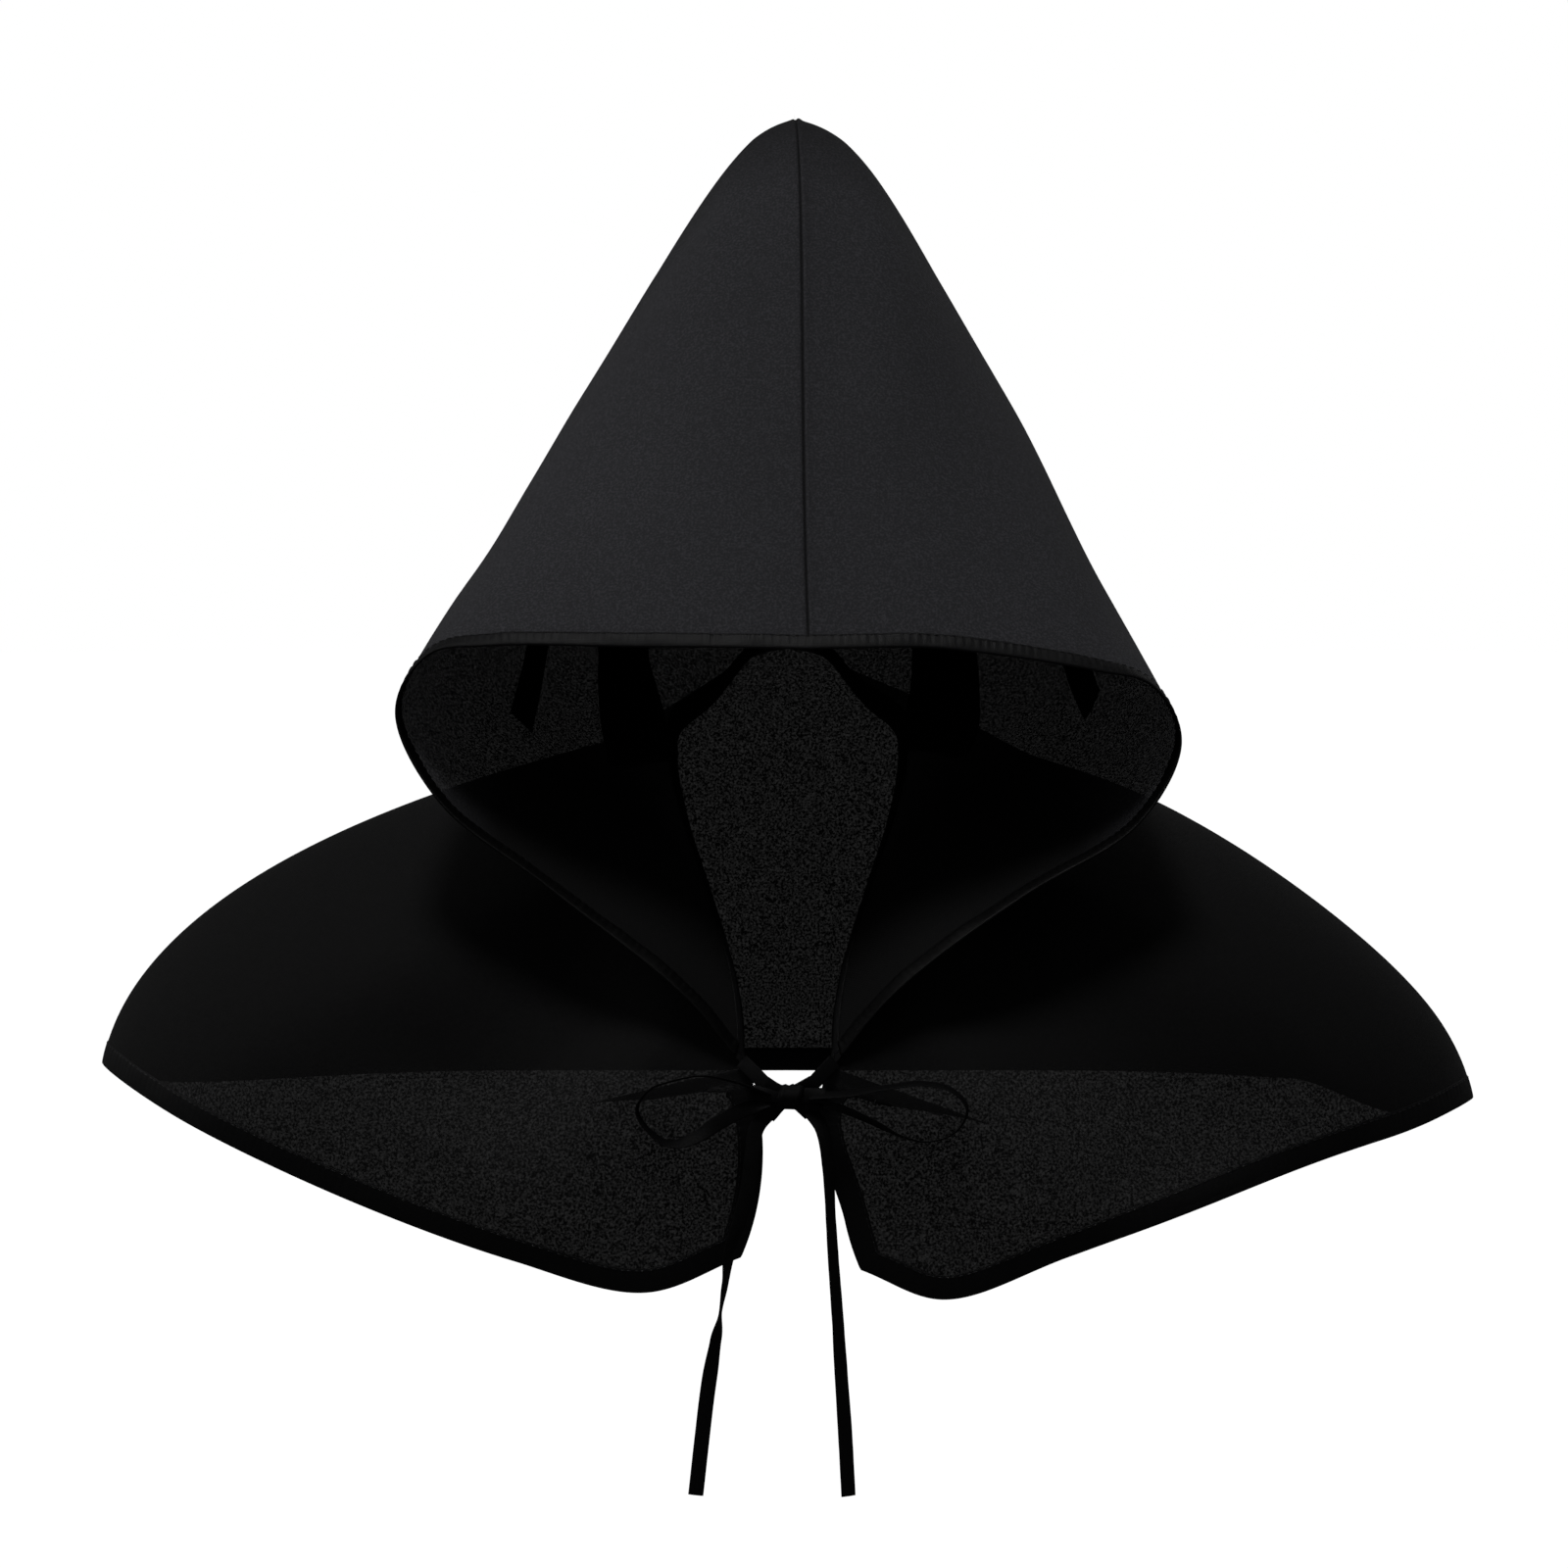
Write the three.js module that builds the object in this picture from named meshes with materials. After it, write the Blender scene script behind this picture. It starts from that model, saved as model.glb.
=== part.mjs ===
import * as THREE from 'three';

// A black cloth hood with a pointed crown and a short shoulder cape, tied at the throat with a ribbon bow.
// Millimetres, +Z up. The face opening looks along -Y and +X is on the viewer's right.
// Every cloth wall is a surface of two parameters with a thickness; the two halves mirror each other
// apart from the lean of the crown, the lower right corner and the right front edge of the cape.

// Hood sizes
const hoodHeight = 375;        // throat to the tip of the crown
const hoodHalfWidth = 156;     // at the corners of the face opening
const hoodHalfDepth = 116;     // brow or back of the head from the middle plane
const crownLean = 2.8;         // the tip leans to the right
const seamDrift = 8;           // the front seam meets the brow this far to the right
const rightFullness = 4.5;     // the right side of the crown stands out further
const leftFullness = 3.3;      // and the left side, nearer to the tip
const rightCornerDrop = 12;    // the right corner of the face opening hangs lower

// Cape sizes
const capeHalfWidth = 281;     // shoulder tips
const capeHalfDepth = 112;     // front and back hems from the middle plane
const capeRise = 145;          // neckline corner above the back hem
const capeHemLevel = -8;       // height of the back hem
const rightTipDrop = 15;       // the right shoulder hangs lower
const rightFrontSpread = 10;   // the right front edge swings further from the middle
const rightFrontDrop = 5;      // and hangs lower
const rightHemRise = 1.5;      // the hem beside it rides higher

// Throat and cloth
const throatLevel = 26;        // height of the ends of the neckline
const clothThickness = 1.2;
const hemThickness = 1.6;
const faceHemWidth = 6.4;
const capeHemWidth = 9;
const neckBandWidth = 9;
const clearance = 0.3;         // between pieces that are sewn edge to edge
const hemClearance = 0.8;      // between a cloth and the hem turned under it
const seamInset = 3.1;         // panel edges keep this far from the neck seam line
const hemStart = 8.4;          // hems begin this far from the neck seam line
const creaseDepth = 1.1;       // the neck band sinks no further than this into the crease of the seam

// Ribbon
const ribbonWidth = 6;
const ribbonThickness = 1.2;
const leadRound = 0.03;        // where the ribbon is sewn on, as a share of the way round the cape
const knotSize = new THREE.Vector3(15, 8, 9);
const knotCentre = new THREE.Vector3(0.4, -117, 14);

// Fineness of the faceted solids
const hoodRows = 24;
const hoodColumns = 16;
const capeColumns = 56;
const capeRows = 10;
const neckSteps = 40;
const ribbonStep = 5;
const fewestSteps = 5;
const tangentReach = 0.2;      // share of a step to either side over which an edge's direction is taken

// Share of the front seam, from the brow, where the head bears on the crown from inside
const seatShare = 0.22;

const clothColour = 0x17171a;
const ribbonColour = 0x1b1b1e;

// Stations of the hood from the neck seam (row 0) up the face edge to the front centre seam (last row).
// Each row is one cubic curve from the face edge to the back seam: shares of half width, half depth
// and height above the throat for its start, its two guide points and its end.
const hoodStations = [
  // face edge               fore guide               rear guide               back seam
  { face: [0.12, -0.91, 0.0], fore: [0.09, -0.52, 0.17], rear: [0.615, 0.48, 0.35], back: [0, 0.65, 0.405] },
  { face: [0.26, -0.91, 0.07], fore: [0.31, -0.43, 0.24], rear: [0.64, 0.7, 0.43], back: [0, 0.79, 0.465] },
  { face: [0.6, -0.82, 0.18], fore: [0.64, -0.22, 0.29], rear: [0.66, 0.9, 0.48], back: [0, 0.9, 0.515] },
  { face: [0.88, -0.76, 0.27], fore: [0.86, -0.08, 0.37], rear: [0.64, 1.02, 0.53], back: [0, 0.97, 0.57] },
  { face: [0.99, -0.69, 0.362], fore: [0.88, 0.05, 0.46], rear: [0.6, 1.05, 0.6], back: [0, 1.0, 0.635] },
  { face: [0.905, -0.77, 0.424], fore: [0.75, -0.04, 0.55], rear: [0.57, 1.02, 0.69], back: [0, 0.99, 0.71] },
  { face: [0.75, -0.85, 0.436], fore: [0.65, -0.26, 0.62], rear: [0.56, 0.91, 0.78], back: [0, 0.93, 0.79] },
  { face: [0.41, -0.93, 0.437], fore: [0.42, -0.44, 0.65], rear: [0.52, 0.78, 0.89], back: [0, 0.84, 0.885] },
  { face: [0.18, -0.965, 0.437], fore: [0.2, -0.49, 0.64], rear: [0.32, 0.5, 1.0], back: [0, 0.71, 0.972] },
  { face: [0.0, -0.98, 0.436], fore: [0.0, -0.52, 0.62], rear: [0.0, 0.3, 1.0], back: [0, 0.64, 0.986] },
];

// Stations of the cape from the front edge (first) round the shoulder to the middle of the back (last).
// Each is one cubic curve from the neckline to the hem: its share along the neckline, then two guide
// points and the hem as shares of half width, half depth and rise above the back hem.
const capeStations = [
  { neck: 0, upper: [0.035, -0.97, 0.15], lower: [0.02, -0.985, -0.08], hem: [0.065, -0.99, -0.27] },
  { neck: 0.05, upper: [0.1, -0.98, 0.2], lower: [0.14, -1.02, -0.14], hem: [0.2, -1.0, -0.385] },
  { neck: 0.14, upper: [0.19, -0.94, 0.32], lower: [0.33, -1.03, -0.07], hem: [0.385, -1.0, -0.297] },
  { neck: 0.27, upper: [0.28, -0.78, 0.53], lower: [0.53, -0.98, 0.1], hem: [0.61, -0.9, -0.15] },
  { neck: 0.44, upper: [0.36, -0.42, 0.8], lower: [0.77, -0.8, 0.4], hem: [0.85, -0.6, 0.025] },
  { neck: 0.68, upper: [0.52, 0.13, 0.92], lower: [0.945, -0.05, 0.635], hem: [1.0, 0.0, 0.125] },
  { neck: 0.82, upper: [0.4, 0.72, 0.84], lower: [0.86, 0.76, 0.55], hem: [0.93, 0.52, 0.01] },
  { neck: 0.92, upper: [0.27, 0.96, 0.98], lower: [0.56, 1.12, 0.45], hem: [0.54, 0.93, 0.0] },
  { neck: 1, upper: [0, 0.9, 1.08], lower: [0, 1.06, 0.45], hem: [0, 1.0, 0.0] },
];

// Soft folds. On the hood a fold runs up from the neckline at a share of the row; on the cape it runs
// down from the neckline at a share of the way round. Depths are shares of the hood's half depth or of
// the cape's, positive outward, and from and to are shares of the fold's own run.
const hoodFolds = [
  { side: -1, at: 0.3, width: 0.06, depth: -0.035, from: 0.08, to: 0.62 },
  { side: -1, at: 0.64, width: 0.05, depth: 0.045, from: 0.0, to: 0.55 },
  { side: 1, at: 0.34, width: 0.06, depth: -0.03, from: 0.08, to: 0.6 },
  { side: 1, at: 0.66, width: 0.055, depth: 0.045, from: 0.0, to: 0.55 },
];
const capeFolds = [
  { side: -1, at: 0.36, width: 0.06, depth: -0.06, from: 0.15, to: 0.8 },
  { side: -1, at: 0.24, width: 0.05, depth: 0.04, from: 0.25, to: 1.0 },
  { side: 1, at: 0.38, width: 0.06, depth: -0.075, from: 0.12, to: 1.0 },
  { side: 1, at: 0.25, width: 0.05, depth: 0.035, from: 0.3, to: 1.0 },
  { side: 1, at: 0.8, width: 0.09, depth: 0.07, from: 0, to: 0.45 },
  { side: -1, at: 0.84, width: 0.05, depth: 0.05, from: 0.3, to: 1.0 },
  { side: 1, at: 0.86, width: 0.05, depth: 0.05, from: 0.3, to: 1.0 },
];

// Routes of the ribbon: middle points in millimetres, then the turn of its width at each point in
// degrees. At 0 its broad side faces the front, at 90 only its edge does.
const ribbonRoutes = {
  tie_loop_left: [
    [-7.1, -118.8, 14.9, 70], [-21, -120.5, 20.6, 75], [-33.7, -120, 22.9, 80], [-45, -120, 20.9, 80],
    [-54, -120, 17.4, 80], [-58.9, -120, 9.8, 80], [-55, -120, 2.1, 80], [-46.5, -120, -3.8, 70],
    [-37, -120, -1.8, 45], [-27, -120, 4.6, 10], [-17, -119.5, 9.6, 15], [-7.4, -118.5, 12.6, 60],
  ],
  tie_loop_right: [
    [7.9, -118.8, 14.9, 70], [24.5, -120.5, 16.2, 75], [39, -120, 18.6, 80], [53.5, -120, 20, 80],
    [64.5, -120, 17, 80], [70, -120, 9.8, 80], [65.8, -120, 1.2, 80], [54.5, -120, -3.2, 80],
    [44, -120, -0.9, 75], [34, -120, 4.1, 60], [22, -119.5, 9.4, 50], [8.2, -118.5, 12.8, 60],
  ],
  tie_tail_left: [
    [-4.6, -117.5, 9.5, 0], [-10.5, -119.5, 1.5, 0], [-13, -121, -9.8, 0], [-15.3, -121.5, -21.3, 0],
    [-18.7, -121.5, -33.2, 10], [-22.6, -121.5, -45.5, 40], [-24.5, -121, -59, 65], [-26.4, -120, -70.5, 80],
    [-28.3, -119, -82, 40], [-31.4, -118, -101.3, 0], [-33.7, -117.5, -120.5, 0], [-36, -117, -142.4, 0],
  ],
  tie_tail_right: [
    [4.8, -117.5, 9.2, 20], [12, -119.5, 0.5, 30], [15, -121, -14, 40], [16.4, -121, -30, 50],
    [17.8, -120.5, -50, 45], [19.4, -119.5, -72, 40], [20.9, -118.5, -96, 30], [22.5, -117.5, -120.5, 20],
    [23.7, -117, -142.8, 20],
  ],
};

function smoothstep(low, high, x) {
  return THREE.MathUtils.smoothstep(x, low, high);
}

// A smooth bump of height 1 at the middle, zero past the width on either side
function bump(x, middle, width) {
  const away = Math.min(Math.abs(x - middle) / width, 1);
  return (1 - away * away) ** 2;
}

function cubic(a, b, c, d, t) {
  const s = 1 - t;
  return new THREE.Vector3()
    .addScaledVector(a, s * s * s)
    .addScaledVector(b, 3 * s * s * t)
    .addScaledVector(c, 3 * s * t * t)
    .addScaledVector(d, t * t * t);
}

// One smooth curve through each column of a table of stations
function railsOf(stations, columns, place) {
  return columns.map((column) => {
    const points = stations.map((station) => place(station[column]));
    return new THREE.CatmullRomCurve3(points, false, 'centripetal');
  });
}

function hoodPlace([x, y, z]) {
  return new THREE.Vector3(x * hoodHalfWidth, y * hoodHalfDepth, throatLevel + z * hoodHeight);
}

function capePlace([x, y, z]) {
  return new THREE.Vector3(x * capeHalfWidth, y * capeHalfDepth, capeHemLevel + z * capeRise);
}

const hoodRails = railsOf(hoodStations, ['face', 'fore', 'rear', 'back'], hoodPlace);
const capeRails = railsOf(capeStations, ['upper', 'lower', 'hem'], capePlace);

// Hood before folds: across from the face edge to the back seam, up from the neck seam to the front seam
function hoodBase(side, across, up) {
  const p = cubic(...hoodRails.map((curve) => curve.getPoint(up)), across);
  const lift = (p.z - throatLevel) / hoodHeight;
  if (side > 0) {
    const corner = smoothstep(0.25, 0.95, p.x / hoodHalfWidth);
    p.z -= rightCornerDrop * corner * smoothstep(0.05, 0.35, lift) * (1 - smoothstep(0.42, 0.8, lift));
  }
  const fullness = side > 0 ? rightFullness * bump(lift, 0.7, 0.4) : leftFullness * bump(lift, 0.81, 0.21);
  p.x += fullness * smoothstep(0, 0.2, p.x / hoodHalfWidth);
  p.x = p.x * side + crownLean * smoothstep(0.5, 1, lift) + seamDrift * smoothstep(0.6, 1, up) * (1 - across);
  return p;
}

// Share along the neckline at a share of the way round the cape
function neckShare(round) {
  const at = round * (capeStations.length - 1);
  const i = Math.min(Math.floor(at), capeStations.length - 2);
  return THREE.MathUtils.lerp(capeStations[i].neck, capeStations[i + 1].neck, at - i);
}

// Cape before folds: round from the front edge to the middle of the back, down from neck to hem
function capeBase(side, round, down) {
  const neck = hoodBase(1, neckShare(round), 0);
  const [upper, lower, hem] = capeRails.map((curve) => curve.getPoint(round));
  const p = cubic(neck, upper, lower, hem, down);
  if (side > 0) {
    const frontHem = down * (1 - smoothstep(0.37, 0.66, round));
    const atTip = smoothstep(0.46, 0.93, p.x / capeHalfWidth) * (1 - frontHem);
    const atCorner = (1 - smoothstep(0, 0.3, round)) * smoothstep(0.35, 0.8, down);
    p.z += rightHemRise * bump(round, 0.3, 0.25) * down - rightTipDrop * atTip - rightFrontDrop * atCorner;
    p.x += rightFrontSpread * atCorner;
  }
  p.x *= side;
  return p;
}

// The two cloths. Depth is the size that their folds follow, and turn makes their normals point outward.
const hoodCloth = { base: hoodBase, folds: hoodFolds, depth: hoodHalfDepth, turn: 1 };
const capeCloth = { base: capeBase, folds: capeFolds, depth: capeHalfDepth, turn: -1 };

// Unit normal of a surface at (a, b), by short steps either way
function normalOf(surface, turn, a, b) {
  const e = 0.004;
  const da = surface(Math.min(a + e, 1), b).sub(surface(Math.max(a - e, 0), b));
  const db = surface(a, Math.min(b + e, 1)).sub(surface(a, Math.max(b - e, 0)));
  return da.cross(db).normalize().multiplyScalar(turn);
}

function foldHeight(cloth, side, a, b) {
  const fade = 0.2;
  let height = 0;
  for (const fold of cloth.folds) {
    if (fold.side === side) {
      const start = smoothstep(fold.from, fold.from + fade, b);
      const end = 1 - smoothstep(fold.to - fade, fold.to, b);
      height += cloth.depth * fold.depth * bump(a, fold.at, fold.width * 2) * start * end;
    }
  }
  return height;
}

function pointOn(cloth, side, a, b) {
  const p = cloth.base(side, a, b);
  const height = foldHeight(cloth, side, a, b);
  if (height !== 0) {
    p.addScaledVector(normalOf((c, d) => cloth.base(side, c, d), cloth.turn * side, a, b), height);
  }
  return p;
}

// Normal of the folded cloth, square to the middle plane's own seams where the cloth meets that plane
function normalOn(cloth, side, a, b) {
  const normal = normalOf((c, d) => pointOn(cloth, side, c, d), cloth.turn * side, a, b);
  if (a > 0.9999 || (cloth === hoodCloth && b > 0.9999)) {
    normal.x = 0;
    normal.normalize();
  }
  return normal;
}

// Turns a closed mesh inside out if its volume comes out negative
function facingOut(geometry) {
  const p = geometry.getAttribute('position');
  const index = geometry.getIndex().array;
  const [a, b, c] = [new THREE.Vector3(), new THREE.Vector3(), new THREE.Vector3()];
  let volume = 0;
  for (let i = 0; i < index.length; i += 3) {
    a.fromBufferAttribute(p, index[i]);
    b.fromBufferAttribute(p, index[i + 1]);
    c.fromBufferAttribute(p, index[i + 2]);
    volume += a.dot(b.cross(c)) / 6;
  }
  if (volume < 0) {
    for (let i = 0; i < index.length; i += 3) {
      [index[i + 1], index[i + 2]] = [index[i + 2], index[i + 1]];
    }
  }
  geometry.computeVertexNormals();
  return geometry;
}

// A wall of even thickness over a grid of places. place(i, j), with i and j from 0 to 1, gives the
// point and the normal; the wall's middle lies off the point by the offset.
function wall(place, rows, columns, thickness, offset = 0) {
  const outer = [];
  const inner = [];
  for (let i = 0; i <= rows; i += 1) {
    for (let j = 0; j <= columns; j += 1) {
      const { point, normal } = place(i / rows, j / columns);
      outer.push(...point.clone().addScaledVector(normal, offset + thickness / 2));
      inner.push(...point.clone().addScaledVector(normal, offset - thickness / 2));
    }
  }
  const shift = outer.length / 3;
  const at = (i, j) => i * (columns + 1) + j;
  const index = [];
  const quad = (a, b, c, d) => index.push(a, b, c, a, c, d);
  for (let i = 0; i < rows; i += 1) {
    for (let j = 0; j < columns; j += 1) {
      quad(at(i, j), at(i + 1, j), at(i + 1, j + 1), at(i, j + 1));
      quad(at(i, j) + shift, at(i, j + 1) + shift, at(i + 1, j + 1) + shift, at(i + 1, j) + shift);
    }
    quad(at(i, 0), at(i, 0) + shift, at(i + 1, 0) + shift, at(i + 1, 0));
    quad(at(i, columns), at(i + 1, columns), at(i + 1, columns) + shift, at(i, columns) + shift);
  }
  for (let j = 0; j < columns; j += 1) {
    quad(at(0, j), at(0, j + 1), at(0, j + 1) + shift, at(0, j) + shift);
    quad(at(rows, j), at(rows, j) + shift, at(rows, j + 1) + shift, at(rows, j + 1));
  }
  const geometry = new THREE.BufferGeometry();
  geometry.setAttribute('position', new THREE.Float32BufferAttribute([...outer, ...inner], 3));
  geometry.setIndex(index);
  return facingOut(geometry);
}

// Share of a cloth's second parameter that covers a distance square to its neck edge
function shareFromNeck(cloth, side, a, distance) {
  const step = 0.01;
  const before = pointOn(cloth, side, Math.max(a - step, 0), 0);
  const edge = pointOn(cloth, side, Math.min(a + step, 1), 0).sub(before).normalize();
  const away = pointOn(cloth, side, a, step).sub(pointOn(cloth, side, a, 0));
  return distance * step / away.cross(edge).length();
}

// Half of the hood, apart from its mirror half by the clearance at the centre seam
function hoodPanel(side) {
  return wall((i, j) => {
    const low = shareFromNeck(hoodCloth, side, j, seamInset);
    const up = low + (1 - low) * i;
    const point = pointOn(hoodCloth, side, j, up);
    point.x += side * clearance / 2;
    return { point, normal: normalOn(hoodCloth, side, j, up) };
  }, hoodRows, hoodColumns, clothThickness);
}

// Side and share of the way round at a share of the way from the left front edge to the right one
function roundFrom(s) {
  return { side: s < 0.5 ? -1 : 1, round: 1 - Math.abs(2 * s - 1) };
}

// Parameters of the point that lies a distance square to an edge from (a, b), found by short steps
function stepInward(cloth, side, a, b, tangent, distance) {
  const e = 0.002;
  const clamp = (x) => THREE.MathUtils.clamp(x, 0, 1);
  const start = pointOn(cloth, side, a, b);
  const forward = tangent.clone().normalize();
  const inward = forward.clone().cross(normalOn(cloth, side, a, b)).normalize();
  let [c, d] = [a, b];
  for (let i = 0; i < 6; i += 1) {
    const here = pointOn(cloth, side, c, d);
    const ec = c > 0.5 ? -e : e;
    const ed = d > 0.5 ? -e : e;
    const dc = pointOn(cloth, side, c + ec, d).sub(here).divideScalar(ec);
    const dd = pointOn(cloth, side, c, d + ed).sub(here).divideScalar(ed);
    const gone = here.sub(start);
    const [needIn, needAlong] = [distance - gone.dot(inward), -gone.dot(forward)];
    const [ci, di, cf, df] = [dc.dot(inward), dd.dot(inward), dc.dot(forward), dd.dot(forward)];
    const det = ci * df - di * cf;
    c = clamp(c + (needIn * df - needAlong * di) / det);
    d = clamp(d + (needAlong * ci - needIn * cf) / det);
  }
  return [c, d];
}

// Direction of an edge given by edge(s), at s, over a short stretch to either side
function edgeTangent(cloth, edge, s, reach) {
  const before = edge(Math.max(s - reach, 0));
  const after = edge(Math.min(s + reach, 1));
  return pointOn(cloth, after.side, after.a, after.b)
    .sub(pointOn(cloth, before.side, before.a, before.b));
}

// The lower edge of the cape, from the left front corner to the right one
function lowerEdge(s) {
  const { side, round } = roundFrom(s);
  return { side, a: round, b: 1 };
}

// The last row of the cape's grid but one lies over the upper edge of its hem
function cape() {
  return wall((i, j) => {
    const { side, round } = roundFrom(i);
    const low = shareFromNeck(capeCloth, side, round, seamInset);
    const tangent = edgeTangent(capeCloth, lowerEdge, i, tangentReach / capeColumns);
    const [aHem, bHem] = stepInward(capeCloth, side, round, 1, tangent, capeHemWidth);
    const t = j * capeRows / (capeRows - 1);
    const a = t > 1 ? round : THREE.MathUtils.lerp(round, aHem, t ** 3);
    const b = t > 1 ? 1 : THREE.MathUtils.lerp(low, bHem, t);
    return { point: pointOn(capeCloth, side, a, b), normal: normalOn(capeCloth, side, a, b) };
  }, capeColumns, capeRows, clothThickness);
}

// A hem turned to the inside: a strip that follows an edge of a cloth, under it by the hem clearance.
// edge(s) gives the side and the two parameters of the edge for s from 0 to 1.
function turnedHem(cloth, edge, width, steps) {
  const offset = -(clothThickness / 2 + hemClearance + hemThickness / 2);
  return wall((i, j) => {
    const { side, a, b } = edge(i);
    const tangent = edgeTangent(cloth, edge, i, tangentReach / steps);
    const [aIn, bIn] = stepInward(cloth, side, a, b, tangent, width * (1 - j));
    return { point: pointOn(cloth, side, aIn, bIn), normal: normalOn(cloth, side, aIn, bIn) };
  }, steps, 1, hemThickness, offset);
}

// Runs from the right end of the neckline over the brow to the left end
function faceHem() {
  const low = shareFromNeck(hoodCloth, 1, 0, hemStart);
  return turnedHem(hoodCloth, (s) => {
    const { side, round } = roundFrom(1 - s);
    return { side, a: 0, b: low + (1 - low) * round };
  }, faceHemWidth, 2 * hoodRows);
}

// Runs down the left front edge, round the lower edge and up the right front edge
function capeHem() {
  const frontSteps = 8;
  const steps = capeColumns + 2 * frontSteps;
  const low = shareFromNeck(capeCloth, 1, 0, hemStart);
  return turnedHem(capeCloth, (s) => {
    const at = s * steps;
    if (at < frontSteps) {
      return { side: -1, a: 0, b: low + (1 - low) * at / frontSteps };
    }
    if (at > steps - frontSteps) {
      return { side: 1, a: 0, b: low + (1 - low) * (steps - at) / frontSteps };
    }
    return lowerEdge((at - frontSteps) / capeColumns);
  }, capeHemWidth, steps);
}

// Seam allowance along the neckline, on the side of the neck, laid over the seam between hood and cape
function neckBand() {
  const start = 0.02;
  const step = 0.02;
  return wall((i, j) => {
    const { side, round } = roundFrom(start + (1 - 2 * start) * i);
    const share = neckShare(round);
    const neck = pointOn(hoodCloth, side, share, 0);
    const toHood = pointOn(hoodCloth, side, share, step).sub(neck).normalize();
    const toCape = pointOn(capeCloth, side, round, step).sub(neck).normalize();
    const normal = toHood.clone().add(toCape).normalize().negate();
    const width = toHood.clone().sub(toCape).normalize();
    const half = toHood.angleTo(toCape) / 2;
    const reach = clothThickness / 2 * Math.sin(half) - seamInset * Math.cos(half);
    const offset = Math.max(reach, -creaseDepth) + hemClearance + hemThickness / 2;
    const point = neck.addScaledVector(width, (j - 0.5) * neckBandWidth).addScaledVector(normal, offset);
    return { point, normal };
  }, neckSteps, 1, hemThickness);
}

// A route whose cross-section keeps the turn asked for, measured from a broad side facing the front
class RibbonCurve extends THREE.CatmullRomCurve3 {
  constructor(points, turns) {
    super(points, false, 'centripetal');
    this.turns = turns;
  }

  turnAt(u) {
    const at = this.getUtoTmapping(u) * (this.turns.length - 1);
    const i = Math.min(Math.floor(at), this.turns.length - 2);
    return THREE.MathUtils.degToRad(THREE.MathUtils.lerp(this.turns[i], this.turns[i + 1], at - i));
  }

  computeFrenetFrames(segments) {
    const frames = { tangents: [], normals: [], binormals: [] };
    for (let i = 0; i <= segments; i += 1) {
      const u = i / segments;
      const tangent = this.getTangentAt(u);
      const inPlane = new THREE.Vector3(0, 1, 0).cross(tangent).normalize();
      const inDepth = inPlane.clone().cross(tangent).normalize();
      const turn = this.turnAt(u);
      const across = inPlane.multiplyScalar(Math.cos(turn)).addScaledVector(inDepth, Math.sin(turn));
      frames.tangents.push(tangent);
      frames.normals.push(across);
      frames.binormals.push(tangent.clone().cross(across));
    }
    return frames;
  }
}

// Flat section with eight corners
function ribbonSection() {
  const [w, t] = [ribbonWidth / 2, ribbonThickness / 2];
  const inset = ribbonThickness / 4;
  const corners = [[w, t - inset], [w - inset, t], [inset - w, t], [-w, t - inset]];
  const shape = new THREE.Shape();
  shape.moveTo(w, inset - t);
  corners.forEach(([x, y]) => shape.lineTo(x, y));
  corners.slice(1).reverse().forEach(([x, y]) => shape.lineTo(x, -y));
  return shape;
}

function ribbon(route) {
  const points = route.map(([x, y, z]) => new THREE.Vector3(x, y, z));
  const curve = new RibbonCurve(points, route.map((row) => row[3]));
  const steps = Math.max(fewestSteps, Math.round(curve.getLength() / ribbonStep));
  return new THREE.ExtrudeGeometry(ribbonSection(), { steps, bevelEnabled: false, extrudePath: curve });
}

// The short stretch from an end of the neckline to the knot. It starts flat against the outside of the
// neck seam and ends edge-on, at the upper corner of the knot.
function leadRoute(side) {
  const down = shareFromNeck(capeCloth, side, leadRound, seamInset);
  const off = (clothThickness + ribbonThickness) / 2 + 2 * clearance;
  const start = pointOn(capeCloth, side, leadRound, down)
    .addScaledVector(normalOn(capeCloth, side, leadRound, down), off);
  const end = new THREE.Vector3(side * knotSize.x * 0.45, 0, knotSize.z * 0.58).add(knotCentre);
  const middle = start.clone().lerp(end, 0.5);
  return [
    [start.x, start.y, start.z, 0],
    [middle.x, middle.y - ribbonThickness, middle.z, side * 20],
    [end.x, end.y, end.z, side * 60],
  ];
}

// The knot: a rounded lump, slightly square, with a groove where the wrap crosses it
function knot() {
  const grooveDepth = 0.12;
  const squarer = (x) => Math.sign(x) * Math.abs(x) ** 0.8;
  const geometry = new THREE.SphereGeometry(1, 16, 12);
  const p = geometry.getAttribute('position');
  const v = new THREE.Vector3();
  for (let i = 0; i < p.count; i += 1) {
    v.fromBufferAttribute(p, i);
    const waist = 1 - grooveDepth * bump(v.x, 0.25, 0.4);
    p.setXYZ(
      i,
      squarer(v.x) * knotSize.x / 2 + knotCentre.x,
      squarer(v.y) * waist * knotSize.y / 2 + knotCentre.y,
      squarer(v.z) * waist * knotSize.z / 2 + knotCentre.z,
    );
  }
  return geometry;
}

// Everything is laid out from the level of the bow and then hung so that the origin is the point on the
// inside of the crown that rests on the wearer's head, level with the front seam and in the middle plane
const seat = pointOn(hoodCloth, 1, seatShare, 1)
  .addScaledVector(normalOn(hoodCloth, 1, seatShare, 1), -clothThickness / 2)
  .setX(0);
const root = new THREE.Group();
root.position.copy(seat).negate();

function addPiece(name, geometry, colour, roughness) {
  const material = new THREE.MeshStandardMaterial({ color: colour, roughness, metalness: 0 });
  const mesh = new THREE.Mesh(geometry, material);
  mesh.name = name;
  root.add(mesh);
}

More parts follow.
